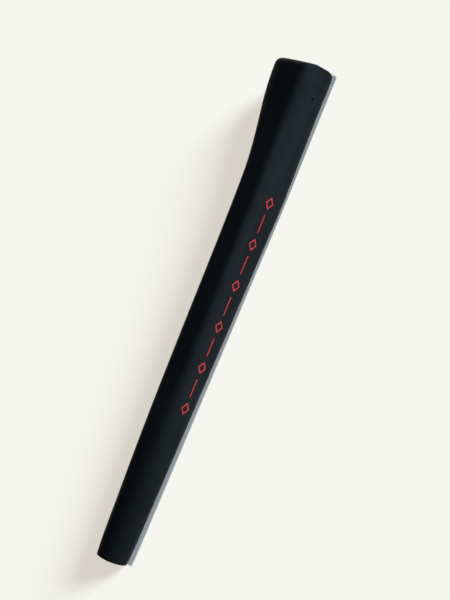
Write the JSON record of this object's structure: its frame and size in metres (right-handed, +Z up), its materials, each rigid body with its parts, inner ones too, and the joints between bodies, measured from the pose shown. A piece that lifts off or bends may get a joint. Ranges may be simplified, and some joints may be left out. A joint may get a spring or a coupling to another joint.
{
  "type": "putter grip",
  "caption": "Rubber pistol putter grip: tapered sleeve with a flat face, swollen butt, plugged cap with a vent, painted marks let into the face and a bore that presses onto a shaft.",
  "frame": {"origin": "centre of the shaft bore at the mouth", "axes": "+X along the shaft bore from the mouth to the butt, -Y out of the flat face, +Y towards the pistol swell, +Z up with the grip lying on its -Z flank"},
  "size_m": [0.267, 0.0299, 0.022],
  "materials": {
    "sleeve_rubber": "matte moulded",
    "cap_rubber": "matte moulded",
    "mark_paint": "satin paint"
  },
  "bodies": {
    "root": {"grip_sleeve": "sleeve_rubber", "butt_cap": "cap_rubber", "paint_diamond_1": "mark_paint", "paint_diamond_2": "mark_paint", "paint_diamond_3": "mark_paint", "paint_diamond_4": "mark_paint", "paint_diamond_5": "mark_paint", "paint_diamond_6": "mark_paint", "paint_dash_1": "mark_paint", "paint_dash_2": "mark_paint", "paint_dash_3": "mark_paint", "paint_dash_4": "mark_paint", "paint_dash_5": "mark_paint"}
  },
  "joints": []
}
